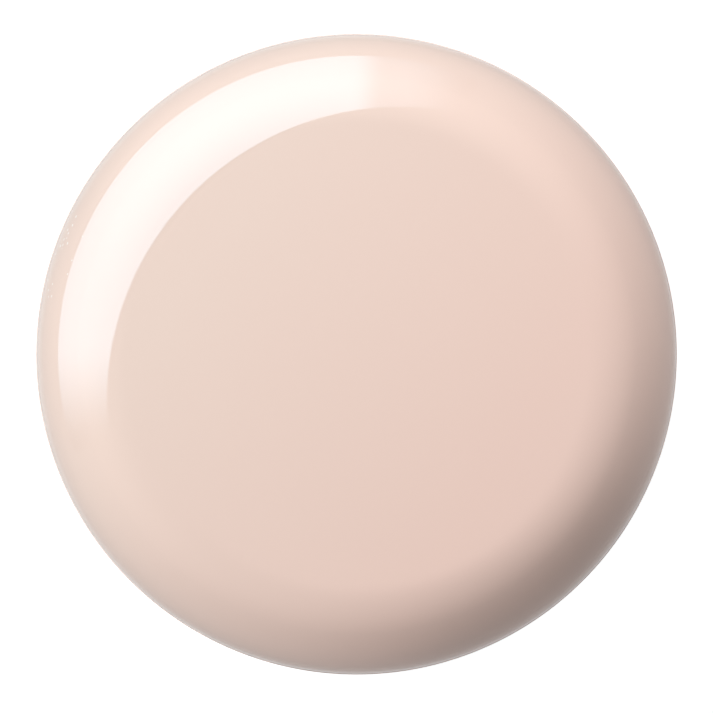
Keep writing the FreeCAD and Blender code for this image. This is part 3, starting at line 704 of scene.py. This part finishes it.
def build_grip_ring(material):
    centre = high("grip_ring") - RING_SECTION
    turns = [TURN * k / 24 for k in range(24)]
    points = [(RING_R + RING_SECTION * math.cos(turn), centre + RING_SECTION * math.sin(turn))
              for turn in turns]
    bm = bmesh.new()
    add_lathe(bm, points)
    place(finish_mesh("grip_ring_skin", bm, material), "applicator", "grip_ring", slot="ring_rubber")


def build_stem(material):
    """The stem with its sealing flange, snap bead and bristle socket."""
    bottom = low("brush_stem")
    socket = bottom + SOCKET_DEPTH
    obj = lathe("stem_skin", [
        (SOCKET_R, bottom), (STEM_R, bottom, 0.3), (STEM_R, FLANGE_Z), (FLANGE_R, FLANGE_Z, 0.15),
        (FLANGE_R, SEAT_Z, 0.15), (STEM_R, SEAT_Z), (STEM_R, BARB_Z - BARB_HALF), (BARB_R, BARB_Z, 0.1),
        (STEM_R, BARB_Z + BARB_HALF), (STEM_R, STEM_TOP_Z, 0.2), (0, STEM_TOP_Z), (0, socket),
        (SOCKET_R, socket),
    ], material, SMALL_SEGMENTS)
    place(obj, "applicator", "brush_stem", slot="stem_plastic")


# the brush, in mm: height, half width and half depth
BRUSH_STATIONS = [(5.6, 1.4, 0.4), (6.6, 2.0, 0.75), (9.5, 2.2, 1.1), (13.5, 1.7, 1.3), (16.0, 1.4, 1.4),
                  (19.4, 1.4, 1.4)]


def tuft_size(z):
    """Half width and half depth of the brush at a height, in mm."""
    for (z0, w0, d0), (z1, w1, d1) in zip(BRUSH_STATIONS, BRUSH_STATIONS[1:]):
        if z <= z1:
            blend = ease((z - z0) / (z1 - z0))
            return w0 + (w1 - w0) * blend, d0 + (d1 - d0) * blend
    return BRUSH_STATIONS[-1][1:]


def build_core(material):
    """The dense middle of the brush, which fills the socket of the stem."""
    bottom, top = 6.4, 19.3
    levels, around = 40, 48
    bm = bmesh.new()
    rings = []
    for i in range(levels):
        z = bottom + (top - bottom) * i / (levels - 1)
        width, depth = tuft_size(z)
        shrink = 0.86 if z < low("brush_stem") else 0.98
        rings.append([bm.verts.new((width * shrink * MM * math.cos(TURN * k / around),
                                    depth * shrink * MM * math.sin(TURN * k / around), z * MM))
                      for k in range(around)])
    skin_rings(bm, rings)
    place(finish_mesh("brush_core", bm, material), "applicator", "brush_tuft", slot="bristles")


def build_filaments(material):
    """Many fine filaments around the core, with a rounded, slightly uneven tip."""
    top, steps = 16.6, 14
    lowest_station = 6.3
    chance = random.Random(11)
    curve = bpy.data.curves.new("brush_filaments", "CURVE")
    curve.dimensions = "3D"
    curve.bevel_depth = 0.055 * MM
    curve.bevel_resolution = 1
    curve.use_fill_caps = True
    for k in range(420):
        share = math.sqrt(chance.uniform(0.45, 1.0)) * 0.97
        angle = chance.uniform(0, TURN)
        u, v = share * math.cos(angle), share * math.sin(angle)
        tip = 5.65 + 1.5 * u * u + chance.uniform(0, 0.35)
        spline = curve.splines.new("POLY")
        heights = [top - (top - tip) * i / steps for i in range(steps + 1)]
        spline.points.add(steps)
        for point, z in zip(spline.points, heights):
            width, depth = tuft_size(max(z, lowest_station))
            sway = 0.03 * math.sin(z * 1.3 + k)
            point.co = ((u * width + sway) * MM, v * depth * MM, z * MM, 1)
            point.radius = 1.0 if z > tip + 1 else 0.7
    filaments = bpy.data.objects.new("brush_filaments", curve)
    bpy.context.scene.collection.objects.link(filaments)
    curve.materials.append(material)
    place(filaments, "applicator", slot="bristles")


# ------------------------------------------------------------- over-cap pieces

def build_sleeve(material):
    """The lacquered wall of the over-cap, with a rebate for the trim and a seat for the dome."""
    bottom, top = low("over_cap_sleeve"), high("over_cap_sleeve")
    trim_top = bottom + TRIM_HEIGHT
    obj = lathe("sleeve_skin", [
        (SLEEVE_INNER_R, bottom, 0.35), (TRIM_INNER_R, bottom), (TRIM_INNER_R, trim_top),
        (SLEEVE_R, trim_top, 0.06), (SLEEVE_R, top, 0.04), (SPIGOT_R, top), (SPIGOT_R, LEDGE_Z),
        (SLEEVE_INNER_R, LEDGE_Z),
    ], material, WIDE_SEGMENTS)
    place(obj, "over_cap", "over_cap_sleeve", slot="nude_lacquer")


def build_trim(material):
    bottom, top = low("trim_ring"), high("trim_ring")
    obj = lathe("trim_skin", [
        (TRIM_INNER_R, bottom), (SLEEVE_R, bottom, 0.2), (SLEEVE_R, top, 0.2), (TRIM_INNER_R, top),
    ], material, WIDE_SEGMENTS)
    place(obj, "over_cap", "trim_ring", slot="champagne_metal")


def build_insert(material):
    """The moulded tube that slides over the inner cap, with a flange to the sleeve."""
    obj = lathe("insert_skin", [
        (INSERT_BORE_R, INSERT_BOTTOM_Z, 0.3), (INSERT_R, INSERT_BOTTOM_Z, 0.3), (INSERT_R, LEDGE_Z, 0.3),
        (SPIGOT_R, LEDGE_Z), (SPIGOT_R, FLANGE_TOP_Z), (INSERT_R, FLANGE_TOP_Z, 0.3),
        (INSERT_R, INSERT_TOP_Z, 0.4), (0, INSERT_TOP_Z), (0, INNER_CAP_TOP_Z),
        (INSERT_BORE_R, INNER_CAP_TOP_Z, 0.3),
    ], material)
    place(obj, "over_cap", "cap_insert", slot="insert_plastic")


def build_weight(material):
    obj = lathe("weight_skin", [
        (WEIGHT_INNER_R, FLANGE_TOP_Z, 0.4), (WEIGHT_R, FLANGE_TOP_Z, 0.1), (WEIGHT_R, WEIGHT_TOP_Z, 0.4),
        (WEIGHT_INNER_R, WEIGHT_TOP_Z, 0.1),
    ], material)
    place(obj, "over_cap", "cap_weight", slot="weight_steel")


def build_pad(material):
    bottom, top = low("foam_pad"), high("foam_pad")
    obj = lathe("foam_pad_skin", [
        (0, bottom), (PAD_R, bottom, 0.25), (PAD_R, top, 0.3), (0, top),
    ], material, SMALL_SEGMENTS)
    place(obj, "over_cap", "foam_pad", slot="pad_foam")


# ------------------------------------------------------------- studio, in metres

# the camera is straight above the dome; the width is what it takes in at the foot of the dome
CAMERA_AWAY = 0.5
CAMERA_SPOT = (0.0, -0.000122, DOME_FOOT * MM + CAMERA_AWAY)
FRAME_WIDTH = 0.037843
SENSOR_WIDTH = 36

SURROUND = 2.5
SURROUND_GLOW = 0.74
AMBIENT = 0.11
# name, azimuth and elevation in degrees, share of the light, softness in degrees
LAMPS = [
    ("key", 145, 65, 0.93, 18),
    ("side_right", 60, 11, 0.46, 18),
    ("side_left", 199, 1, 0.26, 18),
]
# name, azimuth in degrees, power in watts
PANELS = [
    ("panel_left", 222, 0.07),
    ("panel_right", 312, 0.035),
]
PANEL_WIDTH = 0.018
PANEL_HEIGHT = 0.14
PANEL_AWAY = 0.06
PANEL_MIDDLE = 0.071

# the card: its height over the dome in mm, and the two ends of the crescent
CARD_REACH = 1.5
CARD_START = math.radians(66)
CARD_END = math.radians(199)
# its outer edge, as a share of the dome's radius, and the circle that is its inner edge
CARD_OUTER = 0.925
CRESCENT_X, CRESCENT_Y, CRESCENT_R = 0.136, -0.143, 0.906
# the glow rises in two steps after the start, a faint one and a strong one, and fades out at the end
CARD_GLOW = 3.1
CARD_COLOR = (0.50, 0.74, 0.92, 1.0)
FAINT_SHARE = 0.3
FAINT_RISE = math.radians(14)
STRONG_START = math.radians(84)
STRONG_RISE = math.radians(7)
END_FADE = math.radians(22)


def card_inner(angle):
    """Inner edge of the crescent at an angle around the dome, as a share of the dome's radius."""
    along = CRESCENT_X * math.cos(angle) + CRESCENT_Y * math.sin(angle)
    off_centre = CRESCENT_X * CRESCENT_X + CRESCENT_Y * CRESCENT_Y
    return along + math.sqrt(CRESCENT_R * CRESCENT_R - off_centre + along * along)


def card_fade(angle):
    """Share of the card's full glow at an angle around the dome."""
    faint = FAINT_SHARE * ease((angle - CARD_START) / FAINT_RISE)
    strong = (1 - FAINT_SHARE) * ease((angle - STRONG_START) / STRONG_RISE)
    return (faint + strong) * ease((CARD_END - angle) / END_FADE)


def mirror_share(cosine):
    """How much the clear coat reflects at an angle (unpolarised Fresnel)."""
    g = math.sqrt(COAT_IOR * COAT_IOR - 1 + cosine * cosine)
    a = (g - cosine) / (g + cosine)
    b = (cosine * (g + cosine) - 1) / (cosine * (g - cosine) + 1)
    return 0.5 * a * a * (1 + b * b)


def add_card():
    """A curved studio reflector that only shows as the soft crescent in the dome's gloss."""
    steps_round, steps_out = 160, 96
    bm = bmesh.new()
    layer = bm.verts.layers.float.new("glow")
    eye = Vector(CAMERA_SPOT) / MM
    rows = []
    for i in range(steps_round + 1):
        angle = CARD_START + (CARD_END - CARD_START) * i / steps_round
        inner = card_inner(angle)
        fade = card_fade(angle)
        row = []
        for k in range(steps_out + 1):
            radius = (inner + (CARD_OUTER - inner) * k / steps_out) * DOME_R
            height, slope = dome_surface(radius)
            spot = Vector((radius * math.cos(angle), radius * math.sin(angle), height))
            normal = Vector((math.sin(slope) * math.cos(angle),
                             math.sin(slope) * math.sin(angle), math.cos(slope)))
            sight = (spot - eye).normalized()
            ray = sight - 2 * sight.dot(normal) * normal
            vert = bm.verts.new((spot + ray * CARD_REACH) * MM)
            vert[layer] = fade * mirror_share(1.0) / mirror_share(-sight.dot(normal))
            row.append(vert)
        rows.append(row)
    for one, two in zip(rows, rows[1:]):
        for k in range(steps_out):
            bm.faces.new((one[k], one[k + 1], two[k + 1], two[k]))
    n = Nodes("studio_card")
    glow = n.new("ShaderNodeAttribute", attribute_name="glow")
    n.shine(n.math("MULTIPLY", glow.outputs["Fac"], CARD_GLOW), CARD_COLOR)
    card = stage_piece("studio_card", bm, n.material, "glossy")
    lit = receivers("lit_by_card", lambda name: name == "dome_cap_skin")
    card.light_linking.receiver_collection = lit


def stage_piece(name, bm, material, *seen_by):
    """A studio surface that only the named kinds of ray may see."""
    obj = finish_mesh(name, bm, material)
    for kind in ("camera", "diffuse", "glossy", "transmission", "shadow"):
        setattr(obj, f"visible_{kind}", kind in seen_by)
    obj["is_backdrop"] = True
    return obj


def add_floor():
    """A pale table that glows white around the object, a painted pool of light, and a soft grey further
    out.
    """
    bm = bmesh.new()
    bmesh.ops.create_grid(bm, x_segments=2, y_segments=2, size=SURROUND)
    n = Nodes("studio_floor")
    length = n.new("ShaderNodeVectorMath", operation="LENGTH")
    n.link(n.place, length.inputs[0])
    mottle = n.math("MULTIPLY", n.noise(6.0), 0.02)
    # painted pool of light: the glow is white close to the object and greyer further out
    painted_light_pool = n.ramp(n.math("ADD", length.outputs["Value"], mottle),
                  [(0.05, grey(1.0)), (0.13, grey(0.70)), (0.5, grey(0.60))])
    n.link(painted_light_pool, n.shader.inputs["Emission Color"])
    n.set(Base_Color=grey(0.2), Roughness=0.9, Specular_IOR_Level=0.0, Emission_Strength=0.98)
    stage_piece("studio_floor", bm, n.material, "camera", "diffuse", "transmission")


def add_surround():
    """An even grey ball around the studio, seen only behind the object and through its glass."""
    bm = bmesh.new()
    bmesh.ops.create_icosphere(bm, subdivisions=5, radius=SURROUND)
    n = Nodes("studio_surround")
    n.shine(SURROUND_GLOW)
    stage_piece("studio_surround", bm, n.material, "camera", "transmission")


def add_table_shine():
    """The table as the gloss sees it: brightest close to the object."""
    bm = bmesh.new()
    bmesh.ops.create_circle(bm, cap_ends=True, segments=96, radius=0.9 * SURROUND)
    n = Nodes("table_shine")
    shifted = n.new("ShaderNodeVectorMath", operation="DISTANCE")
    n.link(n.place, shifted.inputs[0])
    shifted.inputs[1].default_value = (-0.007, 0.004, 0.0)
    pool = n.ramp(shifted.outputs["Value"],
                  [(0.030, grey(0.68)), (0.042, grey(0.42)), (0.060, grey(0.29)), (0.15, grey(0.09)),
                   (0.5, grey(0.05))])
    n.shine(pool)
    stage_piece("table_shine", bm, n.material, "glossy")


def receivers(name, wanted):
    """A light-linking collection of the pieces that a light may shine on."""
    lit = bpy.data.collections.new(name)
    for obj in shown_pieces():
        if wanted(obj.name):
            lit.objects.link(obj)
    return lit


def add_softboxes():
    """Two tall soft panels and a pale glow that shape the glass, the metal and the inner pieces."""
    lit = receivers("lit_by_panels", lambda name: name not in ("dome_cap_skin", "sleeve_skin"))
    glow_radius = 0.96 * SURROUND
    bm = bmesh.new()
    bmesh.ops.create_icosphere(bm, subdivisions=4, radius=glow_radius)
    n = Nodes("studio_glow")
    split = n.new("ShaderNodeSeparateXYZ")
    n.link(n.place, split.inputs[0])
    height = n.math("DIVIDE", split.outputs["Z"], glow_radius)
    rise = n.ramp(height, [(0.0, grey(0.06)), (0.12, grey(0.4)), (0.5, grey(0.75)), (1.0, grey(0.8))])
    n.shine(rise)
    glow = stage_piece("studio_glow", bm, n.material, "glossy")
    glow.light_linking.receiver_collection = lit
    for name, azimuth, power in PANELS:
        data = bpy.data.lights.new(name, "AREA")
        data.shape = "RECTANGLE"
        data.size = PANEL_WIDTH
        data.size_y = PANEL_HEIGHT
        data.energy = power
        panel = bpy.data.objects.new(name, data)
        turn = math.radians(azimuth)
        outward = Vector((math.cos(turn), math.sin(turn), 0.0))
        panel.location = outward * PANEL_AWAY + Vector((0.0, 0.0, PANEL_MIDDLE))
        panel.rotation_euler = outward.to_track_quat("Z", "Y").to_euler()
        panel.visible_camera = False
        panel.visible_diffuse = False
        panel.visible_transmission = False
        panel.light_linking.receiver_collection = lit
        bpy.context.scene.collection.objects.link(panel)


def add_lights():
    """Three soft lamps that shade the paint but not its gloss, and a faint even light from all around."""
    for name, azimuth, elevation, share, softness in LAMPS:
        azimuth, elevation = math.radians(azimuth), math.radians(elevation)
        towards = Vector((math.cos(elevation) * math.cos(azimuth),
                          math.cos(elevation) * math.sin(azimuth), math.sin(elevation)))
        data = bpy.data.lights.new(name, "SUN")
        data.energy = share * math.pi
        data.angle = math.radians(softness)
        lamp = bpy.data.objects.new(name, data)
        lamp.location = towards * 0.5
        lamp.rotation_euler = (-towards).to_track_quat("-Z", "Y").to_euler()
        lamp.visible_glossy = False
        bpy.context.scene.collection.objects.link(lamp)
    world = bpy.data.worlds.new("studio")
    world.use_nodes = True
    background = world.node_tree.nodes["Background"]
    background.inputs["Color"].default_value = (1.0, 1.0, 1.0, 1.0)
    background.inputs["Strength"].default_value = AMBIENT
    bpy.context.scene.world = world
    bpy.context.scene.view_settings.view_transform = "Standard"


def add_camera():
    """Straight above, a little below centre, as the picture was taken."""
    data = bpy.data.cameras.new("camera")
    data.sensor_width = SENSOR_WIDTH
    data.lens = SENSOR_WIDTH * CAMERA_AWAY / FRAME_WIDTH
    data.clip_end = 2.5 * SURROUND
    camera = bpy.data.objects.new("camera", data)
    camera.location = CAMERA_SPOT
    bpy.context.scene.collection.objects.link(camera)
    bpy.context.scene.camera = camera


def paint_node(node, material):
    """Gives a node of the frame that is shown as it is its material."""
    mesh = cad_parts[node].data
    mesh.materials.clear()
    mesh.materials.append(material)


def build_object():
    """All the pieces with their materials."""
    lacquer = nude_lacquer()
    champagne = metal("champagne_metal", (226, 196, 178), 0.16, 0.12)
    build_glass(clear_glass())
    build_polish(nude_polish())
    build_collar(champagne)
    build_balls(metal("ball_steel", (205, 206, 210), 0.05, 0.04, stretch=1.0))
    build_seals(foam("seal_foam", (240, 239, 234)), plastic("seal_plastic", (236, 235, 230), 0.35, 0.05))
    build_inner_cap(plastic("inner_cap_plastic", (240, 234, 229), 0.3, 0.06, 0.97, 0.1))
    build_grip_ring(plastic("ring_rubber", (52, 50, 50), 0.65, 0.3, 0.8))
    build_stem(plastic("stem_plastic", (244, 243, 240), 0.25, 0.04, 0.98, 0.1))
    bristle = wet_bristle()
    build_core(bristle)
    build_filaments(bristle)
    build_dome(lacquer)
    build_sleeve(lacquer)
    build_trim(champagne)
    build_insert(plastic("insert_plastic", (228, 224, 220), 0.4, 0.08))
    build_weight(metal("weight_steel", (176, 178, 182), 0.3, 0.2))
    build_pad(foam("pad_foam", (96, 96, 100)))
    paint_node("base_label", paper())
    paint_node("brush_anchor", metal("anchor_metal", (190, 190, 192), 0.25, 0.2))


build_object()
add_card()
add_floor()
add_surround()
add_table_shine()
add_softboxes()
add_lights()
add_camera()
